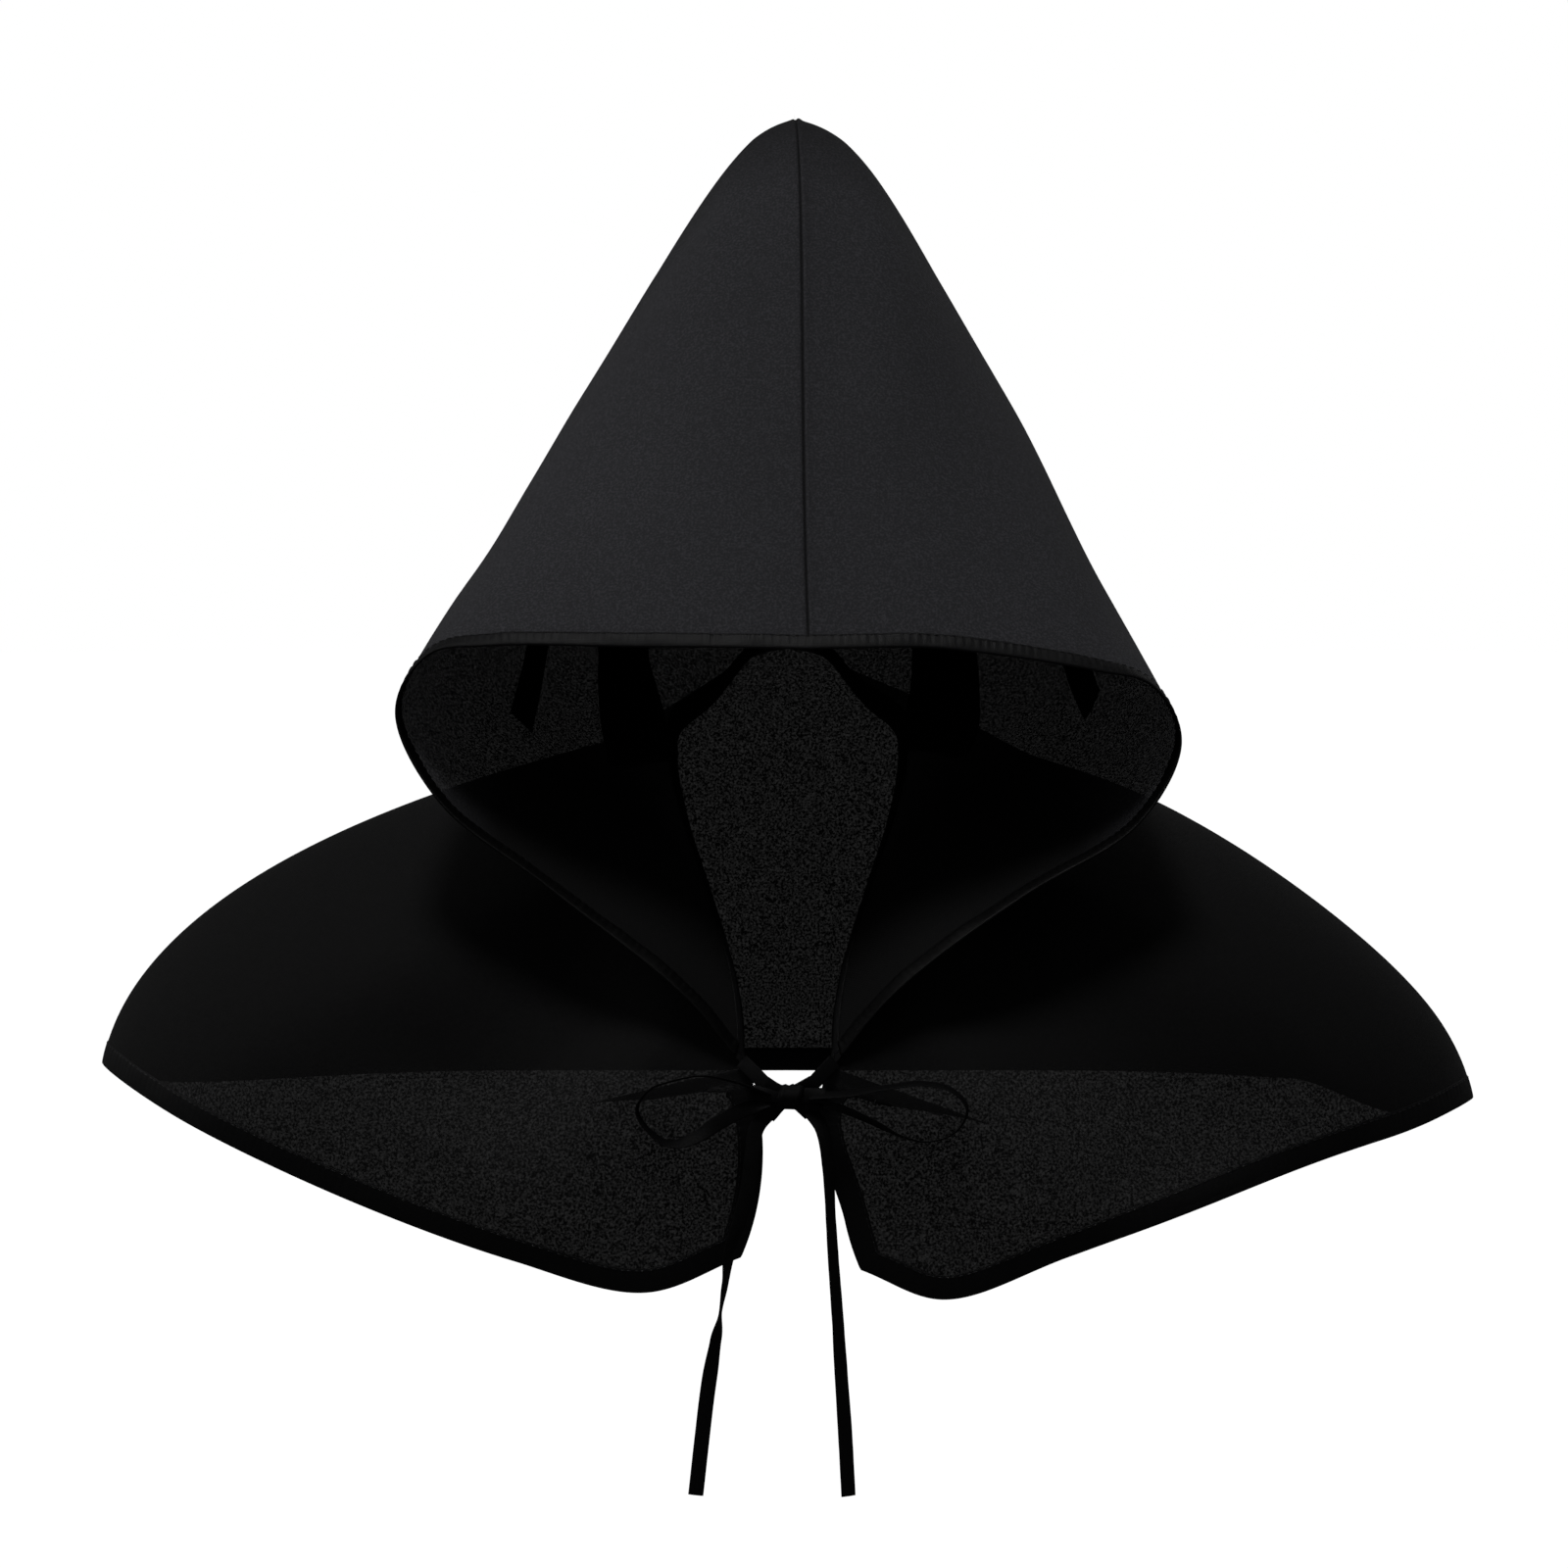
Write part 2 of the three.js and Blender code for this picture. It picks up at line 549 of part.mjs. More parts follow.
addPiece('hood_panel_left', hoodPanel(-1), clothColour, 0.85);
addPiece('hood_panel_right', hoodPanel(1), clothColour, 0.85);
addPiece('face_hem', faceHem(), clothColour, 0.7);
addPiece('neck_band', neckBand(), clothColour, 0.85);
addPiece('cape', cape(), clothColour, 0.85);
addPiece('cape_hem', capeHem(), clothColour, 0.7);
addPiece('tie_lead_left', ribbon(leadRoute(-1)), ribbonColour, 0.6);
addPiece('tie_lead_right', ribbon(leadRoute(1)), ribbonColour, 0.6);
addPiece('tie_knot', knot(), ribbonColour, 0.6);
for (const [name, route] of Object.entries(ribbonRoutes)) {
  addPiece(name, ribbon(route), ribbonColour, 0.6);
}

export default root;
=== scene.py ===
import math
from functools import lru_cache

import bmesh
import bpy
from mathutils import Matrix, Vector, noise


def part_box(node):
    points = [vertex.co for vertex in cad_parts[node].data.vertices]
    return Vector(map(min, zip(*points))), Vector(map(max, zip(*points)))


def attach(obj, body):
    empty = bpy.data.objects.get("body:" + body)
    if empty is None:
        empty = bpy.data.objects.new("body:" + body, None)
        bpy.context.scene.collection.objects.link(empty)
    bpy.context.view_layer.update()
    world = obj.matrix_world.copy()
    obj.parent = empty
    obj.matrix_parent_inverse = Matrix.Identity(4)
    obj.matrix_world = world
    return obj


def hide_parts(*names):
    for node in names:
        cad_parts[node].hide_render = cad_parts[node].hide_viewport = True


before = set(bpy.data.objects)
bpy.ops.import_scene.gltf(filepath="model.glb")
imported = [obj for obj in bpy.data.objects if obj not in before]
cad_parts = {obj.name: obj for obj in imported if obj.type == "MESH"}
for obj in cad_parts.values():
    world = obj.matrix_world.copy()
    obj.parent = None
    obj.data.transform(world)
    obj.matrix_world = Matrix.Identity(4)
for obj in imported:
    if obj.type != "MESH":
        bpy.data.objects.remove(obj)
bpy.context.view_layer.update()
print("frame loaded")

mm = 0.001

# Places are in millimetres from the level of the bow, with the middle of the shoulders at zero.
# The knot of the frame says where that is in the row.
knotCentre = Vector((0.4, -117, 14))
knotLow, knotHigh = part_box("tie_knot")
hang = (knotLow + knotHigh) / 2 - knotCentre * mm


def toRow(p):
    return p * mm + hang


# Camera

camera = {
    "lens": 135,
    "sensor": 36,
    "distance": 2400,
    "elevation": 6,
    "target": Vector((-1.6, 0.1, 124.7)),
}


def makeCamera():
    data = bpy.data.cameras.new("camera")
    data.lens = camera["lens"]
    data.sensor_width = camera["sensor"]
    data.clip_end = 50
    rise = math.radians(camera["elevation"])
    away = Vector((0, -math.cos(rise), math.sin(rise)))
    eye = bpy.data.objects.new("camera", data)
    eye.location = toRow(camera["target"] + away * camera["distance"])
    eye.rotation_euler = (math.pi / 2 - rise, 0, 0)
    bpy.context.collection.objects.link(eye)
    bpy.context.scene.camera = eye


# Small maths

def smoothstep(low, high, x):
    t = min(max((x - low) / (high - low), 0), 1)
    return t * t * (3 - 2 * t)


def bump(x, middle, width):  # height 1 at the middle, zero past the width
    away = min(abs(x - middle) / width, 1)
    return (1 - away * away) ** 2


def mix(a, b, t):
    return a + (b - a) * t


def clamp(x):
    return min(max(x, 0), 1)


def cubic(a, b, c, d, t):
    s = 1 - t
    return a * (s * s * s) + b * (3 * s * s * t) + c * (3 * s * t * t) + d * (t * t * t)


def evenShares(points, step, fewest=1):
    # shares of a line of points that lie a step apart along it, and its length
    gone = [0]
    for before, after in zip(points, points[1:]):
        gone.append(gone[-1] + (after - before).length)
    count, length = len(points) - 1, gone[-1]
    steps = max(fewest, round(length / step))
    shares = []
    k = 0
    for n in range(steps + 1):
        target = length * n / steps
        while k < count - 1 and gone[k + 1] < target:
            k += 1
        shares.append((k + (target - gone[k]) / (gone[k + 1] - gone[k])) / count)
    return shares, length


def flattened(angle, power=0.5):
    # height of a flat, round-edged section at that angle, from -1 to 1
    return abs(math.sin(angle)) ** power * (1 if angle < math.pi else -1)


def alongRail(points, at):  # centripetal curve through the points, equal share for each stretch
    last = len(points) - 1
    i = min(int(at * last), last - 1)
    t = at * last - i
    p1, p2 = points[i], points[i + 1]
    p0 = points[i - 1] if i > 0 else p1 * 2 - p2
    p3 = points[i + 2] if i + 2 <= last else p2 * 2 - p1
    d0, d1, d2 = [math.sqrt((b - a).length) for a, b in ((p0, p1), (p1, p2), (p2, p3))]
    out = ((p1 - p0) / d0 - (p2 - p0) / (d0 + d1) + (p2 - p1) / d1) * d1
    into = ((p2 - p1) / d1 - (p3 - p1) / (d1 + d2) + (p3 - p2) / d2) * d1
    return cubic(p1, p1 + out / 3, p2 - into / 3, p2, t)


# Hood and cape as surfaces of two shares

hood = {
    "height": 375,
    "halfWidth": 156,
    "halfDepth": 116,
    "level": 26,
    "lean": 2.8,
    "seamDrift": 8,       # the front seam meets the brow this far to the right
    "rightFullness": 4.5,
    "leftFullness": 3.3,
    "rightCornerDrop": 12,
    "napePull": 6.5,      # the neck seam runs straighter from its corners to the nape
    # face edge, fore guide, rear guide and back seam of each row, from the neck to the front seam
    "stations": [
        [(0.12, -0.91, 0), (0.09, -0.52, 0.17), (0.615, 0.48, 0.35), (0, 0.65, 0.405)],
        [(0.26, -0.91, 0.07), (0.31, -0.43, 0.24), (0.64, 0.7, 0.43), (0, 0.79, 0.465)],
        [(0.6, -0.82, 0.18), (0.64, -0.22, 0.29), (0.66, 0.9, 0.48), (0, 0.9, 0.515)],
        [(0.88, -0.76, 0.27), (0.86, -0.08, 0.37), (0.64, 1.02, 0.53), (0, 0.97, 0.57)],
        [(0.99, -0.69, 0.362), (0.88, 0.05, 0.46), (0.6, 1.05, 0.6), (0, 1, 0.635)],
        [(0.905, -0.77, 0.424), (0.75, -0.04, 0.55), (0.57, 1.02, 0.69), (0, 0.99, 0.71)],
        [(0.75, -0.85, 0.436), (0.65, -0.26, 0.62), (0.56, 0.91, 0.78), (0, 0.93, 0.79)],
        [(0.41, -0.93, 0.437), (0.42, -0.44, 0.65), (0.52, 0.78, 0.89), (0, 0.84, 0.885)],
        [(0.18, -0.965, 0.437), (0.2, -0.49, 0.64), (0.32, 0.5, 1), (0, 0.71, 0.972)],
        [(0, -0.98, 0.436), (0, -0.52, 0.62), (0, 0.3, 1), (0, 0.64, 0.986)],
    ],
    # side, share of the row, width, depth, and where it starts and ends
    "folds": [
        (-1, 0.3, 0.06, -0.035, 0.08, 0.62),
        (-1, 0.64, 0.05, 0.045, 0, 0.55),
        (1, 0.34, 0.06, -0.03, 0.08, 0.6),
        (1, 0.66, 0.055, 0.045, 0, 0.55),
    ],
}

cape = {
    "halfWidth": 281,
    "halfDepth": 112,
    "rise": 145,
    "hemLevel": -8,
    "rightTipDrop": 15,
    "rightFrontSpread": 10,
    "rightFrontDrop": 5,
    "rightHemRise": 1.5,
    "neckShares": [0, 0.05, 0.14, 0.27, 0.44, 0.68, 0.82, 0.92, 1],
    # upper guide, lower guide and hem, from the front edge round to the middle of the back
    "stations": [
        [(0.035, -0.97, 0.15), (0.02, -0.985, -0.08), (0.067, -0.99, -0.29)],
        [(0.1, -0.98, 0.2), (0.14, -1.02, -0.14), (0.2, -1, -0.385)],
        [(0.19, -0.94, 0.32), (0.33, -1.03, -0.07), (0.385, -1, -0.297)],
        [(0.28, -0.78, 0.53), (0.53, -0.98, 0.1), (0.61, -0.9, -0.15)],
        [(0.36, -0.42, 0.8), (0.77, -0.8, 0.4), (0.85, -0.6, 0.025)],
        [(0.52, 0.13, 0.92), (0.945, -0.05, 0.635), (1, 0, 0.125)],
        [(0.4, 0.72, 0.84), (0.86, 0.76, 0.55), (0.93, 0.52, 0.01)],
        [(0.27, 0.96, 0.98), (0.56, 1.12, 0.45), (0.54, 0.93, -0.01)],
        [(0, 0.9, 1.08), (0, 1.06, 0.45), (0, 1, -0.015)],
    ],
    "folds": [
        (-1, 0.36, 0.06, -0.06, 0.15, 0.8),
        (-1, 0.24, 0.05, 0.04, 0.25, 1),
        (1, 0.38, 0.06, -0.075, 0.12, 1),
        (1, 0.25, 0.05, 0.035, 0.3, 1),
        (1, 0.8, 0.09, 0.07, 0, 0.45),
        (-1, 0.84, 0.05, 0.05, 0.3, 1),
        (1, 0.86, 0.05, 0.05, 0.3, 1),
    ],
}


def hoodPlace(share):
    x, y, z = share
    return Vector((x * hood["halfWidth"], y * hood["halfDepth"], hood["level"] + z * hood["height"]))


def capePlace(share):
    x, y, z = share
    return Vector((x * cape["halfWidth"], y * cape["halfDepth"], cape["hemLevel"] + z * cape["rise"]))


rails = {
    "hood": [[hoodPlace(share) for share in column] for column in zip(*hood["stations"])],
    "cape": [[capePlace(share) for share in column] for column in zip(*cape["stations"])],
}


@lru_cache(maxsize=None)
def railPoints(cloth, at):
    return [alongRail(rail, at) for rail in rails[cloth]]


def hoodBase(side, across, up):
    p = cubic(*railPoints("hood", up), across)
    lift = (p.z - hood["level"]) / hood["height"]
    out = p.x / hood["halfWidth"]
    if side > 0:
        band = smoothstep(0.05, 0.35, lift) * (1 - smoothstep(0.42, 0.8, lift))
        p.z -= hood["rightCornerDrop"] * smoothstep(0.25, 0.95, out) * band
        p.x += hood["rightFullness"] * bump(lift, 0.7, 0.4) * smoothstep(0, 0.2, out)
    else:
        p.x += hood["leftFullness"] * bump(lift, 0.81, 0.21) * smoothstep(0, 0.2, out)
    bend = hood["napePull"] * bump(across, 0.81, 0.17) * (1 - smoothstep(0, 0.2, up))
    p.x = (p.x - bend) * side + seamMiddle(lift, across, up)
    p.z -= bend
    return p


def seamMiddle(lift, across, up):  # how far to the right the middle of the hood lies
    return hood["lean"] * smoothstep(0.5, 1, lift) + hood["seamDrift"] * smoothstep(0.6, 1, up) * (1 - across)


def neckShare(turn):
    shares = cape["neckShares"]
    at = turn * (len(shares) - 1)
    i = min(int(at), len(shares) - 2)
    return mix(shares[i], shares[i + 1], at - i)


def capeBase(side, turn, down):
    neck = hoodBase(1, neckShare(turn), 0)
    p = cubic(neck, *railPoints("cape", turn), down)
    if side > 0:
        frontHem = down * (1 - smoothstep(0.37, 0.66, turn))
        corner = (1 - smoothstep(0, 0.3, turn)) * smoothstep(0.35, 0.8, down)
        back = smoothstep(0.68, 0.85, turn)
        tip = smoothstep(mix(0.46, 0.8, back), mix(0.93, 1.05, back), p.x / cape["halfWidth"])
        p.z -= cape["rightTipDrop"] * tip * (1 - frontHem)
        p.z += cape["rightHemRise"] * bump(turn, 0.3, 0.25) * down - cape["rightFrontDrop"] * corner
        p.x += cape["rightFrontSpread"] * corner
    p.x *= side
    return p


hood.update(base=hoodBase, depth=hood["halfDepth"], outward=1)
cape.update(base=capeBase, depth=cape["halfDepth"], outward=-1)


def normalOf(surface, outward, a, b):
    e = 0.004
    da = surface(min(a + e, 1), b) - surface(max(a - e, 0), b)
    db = surface(a, min(b + e, 1)) - surface(a, max(b - e, 0))
    return da.cross(db).normalized() * outward


def foldHeight(cloth, side, a, b):
    fade = 0.2
    height = 0
    for foldSide, at, width, depth, start, end in cloth["folds"]:
        if foldSide == side:
            reach = smoothstep(start, start + fade, b) * (1 - smoothstep(end - fade, end, b))
            height += cloth["depth"] * depth * bump(a, at, width * 2) * reach
    return height


def pointOn(cloth, side, a, b):
    p = cloth["base"](side, a, b)
    height = foldHeight(cloth, side, a, b)
    if height:
        surface = lambda c, d: cloth["base"](side, c, d)
        p += normalOf(surface, cloth["outward"] * side, a, b) * height
    return p


def normalOn(cloth, side, a, b):
    surface = lambda c, d: pointOn(cloth, side, c, d)
    return normalOf(surface, cloth["outward"] * side, a, b)


# Pieces

def newPiece(name, bm, material, *nodes):
    mesh = bpy.data.meshes.new(name)
    bm.to_mesh(mesh)
    bm.free()
    mesh.shade_smooth()
    piece = bpy.data.objects.new(name, mesh)
    piece.data.materials.append(material)
    bpy.context.collection.objects.link(piece)
    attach(piece, "root")
    if nodes:
        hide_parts(*nodes)
    return piece


def grid(place, rows, columns, closed=False):
    # place(i, j) gives a point in millimetres; the shares i and j also become the UV map
    bm = bmesh.new()
    bmesh.ops.create_grid(bm, x_segments=rows, y_segments=columns, size=0.5)
    uv = bm.loops.layers.uv.new("cloth")
    for face in bm.faces:
        for loop in face.loops:
            loop[uv].uv = (loop.vert.co.y + 0.5, loop.vert.co.x + 0.5)
    for vert in bm.verts:
        vert.co = toRow(place(clamp(vert.co.x + 0.5), clamp(vert.co.y + 0.5)))
    if closed:
        bmesh.ops.remove_doubles(bm, verts=bm.verts, dist=0.00001)
        ends = [edge for edge in bm.edges if edge.is_boundary]
        if ends:
            bmesh.ops.holes_fill(bm, edges=ends, sides=0)
        bmesh.ops.recalc_face_normals(bm, faces=bm.faces)
    return bm


def faceOutward(bm, inside):
    # turns an open sheet so that its faces look away from a point in millimetres
    middle = toRow(inside)
    lean = sum(face.normal.dot(face.calc_center_median() - middle) * face.calc_area() for face in bm.faces)
    if lean < 0:
        bmesh.ops.reverse_faces(bm, faces=bm.faces)


# Materials: a wrapper for sockets, so that shader maths reads as Python

class Socket:
    def __init__(self, tree, output):
        self.tree = tree
        self.output = output

    def maths(self, operation, other=0, swap=False):
        values = [other, self] if swap else [self, other]
        return addNode(self.tree, "ShaderNodeMath", {"operation": operation}, values)

    def __add__(self, other): return self.maths("ADD", other)
    def __radd__(self, other): return self.maths("ADD", other)
    def __sub__(self, other): return self.maths("SUBTRACT", other)
    def __rsub__(self, other): return self.maths("SUBTRACT", other, swap=True)
    def __mul__(self, other): return self.maths("MULTIPLY", other)
    def __rmul__(self, other): return self.maths("MULTIPLY", other)
    def __truediv__(self, other): return self.maths("DIVIDE", other)
    def __pow__(self, other): return self.maths("POWER", other)
    def __gt__(self, other): return self.maths("GREATER_THAN", other)


def addNode(tree, kind, settings=None, inputs=(), output=0):
    node = tree.nodes.new(kind)
    for key, value in (settings or {}).items():
        if key == "stops":
            setStops(node.color_ramp, value)
        else:
            setattr(node, key, value)
    pairs = inputs.items() if isinstance(inputs, dict) else enumerate(inputs)
    for key, value in pairs:
        if isinstance(value, Socket):
            tree.links.new(value.output, node.inputs[key])
        else:
            node.inputs[key].default_value = value
    return Socket(tree, node.outputs[output]) if node.outputs else None


def setStops(ramp, stops):
    while len(ramp.elements) < len(stops):
        ramp.elements.new(1)
    for element, (position, colour) in zip(ramp.elements, stops):
        element.position = position
        element.color = (*colour, 1)


def startMaterial(name):
    material = bpy.data.materials.new(name)
    material.use_nodes = True
    tree = material.node_tree
    tree.nodes.clear()
    return material, tree


def finishMaterial(tree, sockets):
    shader = addNode(tree, "ShaderNodeBsdfPrincipled", inputs=sockets)
    addNode(tree, "ShaderNodeOutputMaterial", inputs=[shader])


def threads(tree, size, pitch):
    # plain weave over a piece of that size: height, and the two thread coordinates
    across, along = [share * (length / pitch) for share, length in zip(uvShares(tree), size)]
    warp = (across * math.pi).maths("SINE")
    weft = (along * math.pi).maths("SINE")
    over = (warp * weft) > 0
    warpRound = 1 - warp.maths("ABSOLUTE")
    weftRound = 1 - weft.maths("ABSOLUTE")
    height = 1 - (over * warpRound + (1 - over) * weftRound)
    return height, across, along


def slubs(tree, across, along, stretch=12):
    # threads that run thicker and thinner along their length
    warp = addNode(tree, "ShaderNodeCombineXYZ", inputs=[across, along / stretch, 0.0])
    weft = addNode(tree, "ShaderNodeCombineXYZ", inputs=[across / stretch, along, 7.0])
    noiseWarp = addNode(tree, "ShaderNodeTexNoise", inputs={"Vector": warp, "Scale": 1.0, "Detail": 1.0})
    noiseWeft = addNode(tree, "ShaderNodeTexNoise", inputs={"Vector": weft, "Scale": 1.0, "Detail": 1.0})
    return noiseWarp * 0.5 + noiseWeft * 0.5


def objectPlace(tree):
    return addNode(tree, "ShaderNodeTexCoord", output=3)


def objectNoise(tree, scale, detail=2.0):
    inputs = {"Vector": objectPlace(tree), "Scale": scale, "Detail": detail}
    return addNode(tree, "ShaderNodeTexNoise", inputs=inputs)


cloth = {
    "pitch": 0.5,                        # threads, in millimetres
    "weaveDepth": 0.00012,
    "grainScale": 1100,                  # specks where light comes through, per metre
    "grainStrength": 8.5,
    "most": 0.0175,                      # share of light that comes through at a speck
}


def blended(tree, factor, first, second, blend="MIX"):
    settings = {"data_type": "RGBA", "blend_type": blend}
    return addNode(tree, "ShaderNodeMix", settings, {"Factor": factor, 6: first, 7: second}, 2)


def multiplied(tree, colour, shade):
    return blended(tree, 1.0, colour, shade, "MULTIPLY")


def uvShares(tree):
    uv = addNode(tree, "ShaderNodeUVMap", {"uv_map": "cloth"})
    place = addNode(tree, "ShaderNodeSeparateXYZ", inputs=[uv])
    return place, Socket(tree, place.output.node.outputs[1])


def greyPair(tone, spread):
    # a darker and a lighter shade of the same near-black, a little blue
    return [(shade, shade, shade * 1.12, 1) for shade in (tone, tone * spread)]


def shareRamp(tree, share, low, high, start):
    # that start below low, 1 above high
    stops = [(low, (start,) * 3), (high, (1, 1, 1))]
    return addNode(tree, "ShaderNodeValToRGB", {"stops": stops}, [share])


def hoodShades(tree, look):
    back, up = uvShares(tree)
    # painted shade in the front corner under the chin
    corner = shareRamp(tree, up, *look["throatUp"], look["throat"])
    throat = blended(tree, shareRamp(tree, back, *look["throatBack"], 0), corner, (1, 1, 1, 1))
    # partly painted shade, partly dirt, in the creases of the centre seams, in front and at the back
    creases = [shareRamp(tree, 1 - share, *look["crease"], look["creaseTone"]) for share in (up, back)]
    # painted shade behind the crown, where it makes the cloth as dark as the cape; as shares of 0.2 m from there
    # forwards
    depth = addNode(tree, "ShaderNodeSeparateXYZ", inputs=[objectPlace(tree)], output=1)
    return [throat, *creases, shareRamp(tree, 1 - depth * 5, *look["rear"], look["rearShadeTone"])]


def clothMaterial(name, look):
    # black plain-weave polyester that lets a little light through between its threads
    material, tree = startMaterial(name)
    height, across, along = threads(tree, look["size"], cloth["pitch"])
    slub = slubs(tree, across, along)
    cloudy = objectNoise(tree, 14.0, 3.0)
    grain = objectNoise(tree, cloth["grainScale"], 1.0)
    shade = cloudy * 0.3 + slub * 0.2 + (grain - 0.5) * 3.5
    colour = blended(tree, shade.maths("MAXIMUM", 0).maths("MINIMUM", 1), *greyPair(look["tone"], 1.9))
    # painted shade on the hood: under the chin, in the creases of the centre seams and behind the crown
    if "throat" in look:
        for darker in hoodShades(tree, look):
            colour = multiplied(tree, colour, darker)
    seeThrough = look["seeThrough"]
    speck = (grain - 0.5) * cloth["grainStrength"] + (slub - 0.5) * 0.5 + 1
    share = speck.maths("MAXIMUM", 0.05).maths("MINIMUM", cloth["most"] / seeThrough) * seeThrough
    relief = addNode(
        tree, "ShaderNodeBump", inputs={"Strength": 0.5, "Distance": cloth["weaveDepth"], "Height": height + slub},
    )
    finishMaterial(tree, {
        "Base Color": colour,
        "Roughness": 0.62 + slub * 0.25,
        "Alpha": 1 - share,
        "Normal": relief,
        "Specular IOR Level": look["gloss"],
        "Sheen Weight": look["gloss"] / 5,
        "Sheen Roughness": 0.5,
    })
    return material


hem = {
    "pitch": 0.5,
    "weaveDepth": 0.0001,
    "roughness": 0.36,
    "gloss": 0.22,
    "fade": (0.16, 0.24),  # shares away from the middle between which painted shade darkens a hem
}


def hemMaterial(name, size, tone, ends=1.0):
    # the same cloth turned double, closer and a little glossy from pressing; painted shade darkens it towards its
    # ends
    material, tree = startMaterial(name)
    height, across, along = threads(tree, size, hem["pitch"])
    slub = slubs(tree, across, along)
    cloudy = objectNoise(tree, 60.0, 3.0)
    colour = blended(tree, cloudy, *greyPair(tone, 1.6))
    if ends != 1:
        fromMiddle = (uvShares(tree)[1] - 0.5).maths("ABSOLUTE")
        stops = [(hem["fade"][0], (1, 1, 1)), (hem["fade"][1], (ends,) * 3)]
        colour = multiplied(tree, colour, addNode(tree, "ShaderNodeValToRGB", {"stops": stops}, [fromMiddle]))
    relief = addNode(
        tree, "ShaderNodeBump", inputs={"Strength": 0.45, "Distance": hem["weaveDepth"], "Height": height + slub},
    )
    finishMaterial(tree, {
        "Base Color": colour,
        "Roughness": hem["roughness"] + slub * 0.25,
        "Normal": relief,
        "Specular IOR Level": hem["gloss"],
    })
    return material


ribbon = {
    "width": 6,
    "thickness": 0.5,
    "step": 1.5,
    "pitch": 0.45,
    "tone": 0.003,
}


def ribbonMaterial(name, length):
    # narrow woven ribbon: fine ribs across it and a firmer edge along each side
    material, tree = startMaterial(name)
    across, along = uvShares(tree)
    rib = (along * (length / ribbon["pitch"]) * math.pi * 2).maths("SINE")
    edge = (across * math.pi * 4).maths("COSINE").maths("MAXIMUM", 0) ** 6
    fibre = objectNoise(tree, 2500.0, 2.0)
    dark, light = greyPair(ribbon["tone"], 1.7)
    colour = blended(tree, edge * 0.6 + fibre * 0.3, dark, light)
    relief = addNode(
        tree, "ShaderNodeBump", inputs={"Strength": 0.5, "Distance": 0.0001, "Height": rib * 0.5 + fibre},
    )
    finishMaterial(tree, {
        "Base Color": colour,
        "Roughness": 0.5 + fibre * 0.25,
        "Normal": relief,
        "Specular IOR Level": 0.16,
    })
    return material


def threadMaterial():
    material, tree = startMaterial("sewingThread")
    fibre = objectNoise(tree, 3000.0, 1.0)
    relief = addNode(tree, "ShaderNodeBump", inputs={"Strength": 0.4, "Distance": 0.00005, "Height": fibre})
    colour = blended(tree, fibre, *greyPair(0.009, 1.8))
    finishMaterial(tree, {"Base Color": colour, "Roughness": 0.4, "Normal": relief, "Specular IOR Level": 0.5})
    return material


# Hood

hoodDetail = {
    "rows": 130,
    "columns": 90,
    "crowding": 1.4,      # rows and columns crowd towards the centre seam
    "grooveDepth": 1.2,   # of the centre seam
    "grooveWidth": 0.6,
    "ridge": 0.5,         # seam allowance pressed to the right
    "ridgeAt": 1.7,
    "ridgeWidth": 0.9,
    "seamZone": 6,
    "size": (330, 420),
    # the hood and the cape are one cloth: the hood's far lighter tone is painted light
    "tone": 0.045,
    "gloss": 0.2,
    "seeThrough": 0.0032,
    # painted shade: what is left of the tone, and the shares between which it comes back
    "throat": 0.04,
    "throatUp": (0.2, 0.3),
    "throatBack": (0.25, 0.5),
    "creaseTone": 0.3,
    "crease": (0.009, 0.014),
    "rearShadeTone": 0.12,
    "rear": (0.21, 0.485),
}


def seamDip(side, away):
    dip = hoodDetail["grooveDepth"] * math.exp(-(away / hoodDetail["grooveWidth"]) ** 2)
    if side < 0:
        return -dip
    beyond = (away - hoodDetail["ridgeAt"]) / hoodDetail["ridgeWidth"]
    return hoodDetail["ridge"] * math.exp(-beyond ** 2) - dip


def makeHoodPanel(side, name, node):
    def place(i, j):
        up = 1 - (1 - i) ** hoodDetail["crowding"]
        across = 1 - (1 - j) ** hoodDetail["crowding"]
        p = pointOn(hood, side, across, up)
        away = abs(p.x - seamMiddle((p.z - hood["level"]) / hood["height"], across, up))
        if away < hoodDetail["seamZone"] and (up > 0.9 or across > 0.9):
            normal = normalOn(hood, side, across, up)
            normal.x = 0
            p += normal.normalized() * seamDip(side, away)
        return p

    bm = grid(place, hoodDetail["rows"], hoodDetail["columns"])
    faceOutward(bm, Vector((0, 0, 200)))
    piece = newPiece(name, bm, clothMaterial(name + "Cloth", hoodDetail), node)
    return piece


# Cape

capeDetail = {
    "turns": 360,
    "downs": 70,
    # the cape and the hood are one cloth: the cape's far darker tone is painted shade
    "tone": 0.0024,
    "gloss": 0.2,
    "seeThrough": 0.0045,
    "size": (190, 1200),
}


def fromLeft(s):
    return (-1 if s < 0.5 else 1), 1 - abs(2 * s - 1)


def makeCape():
    def place(i, j):
        side, turn = fromLeft(i)
        return pointOn(cape, side, turn, j)

    bm = grid(place, capeDetail["turns"], capeDetail["downs"])
    faceOutward(bm, Vector((0, 0, -60)))
    piece = newPiece("shoulderCape", bm, clothMaterial("capeCloth", capeDetail), "cape")
    return piece


# Hems: a band folded over the edge of the cloth, pulled into puckers by its stitches

faceHem = {
    "width": 6.4, "thickness": 1.5, "pitch": 3.4, "pucker": 0.4, "stitchAt": 0.86, "step": 1.1, "tone": 0.006,
    # ends: what is left of the tone under painted shade down the sides of the face opening
    "ends": 0.1,
}
capeHem = {
    "width": 9.4, "thickness": 1.0, "pitch": 3.4, "pucker": 0.18, "stitchAt": 0.88, "step": 1.3, "tone": 0.0035,
    "ends": 1,
}


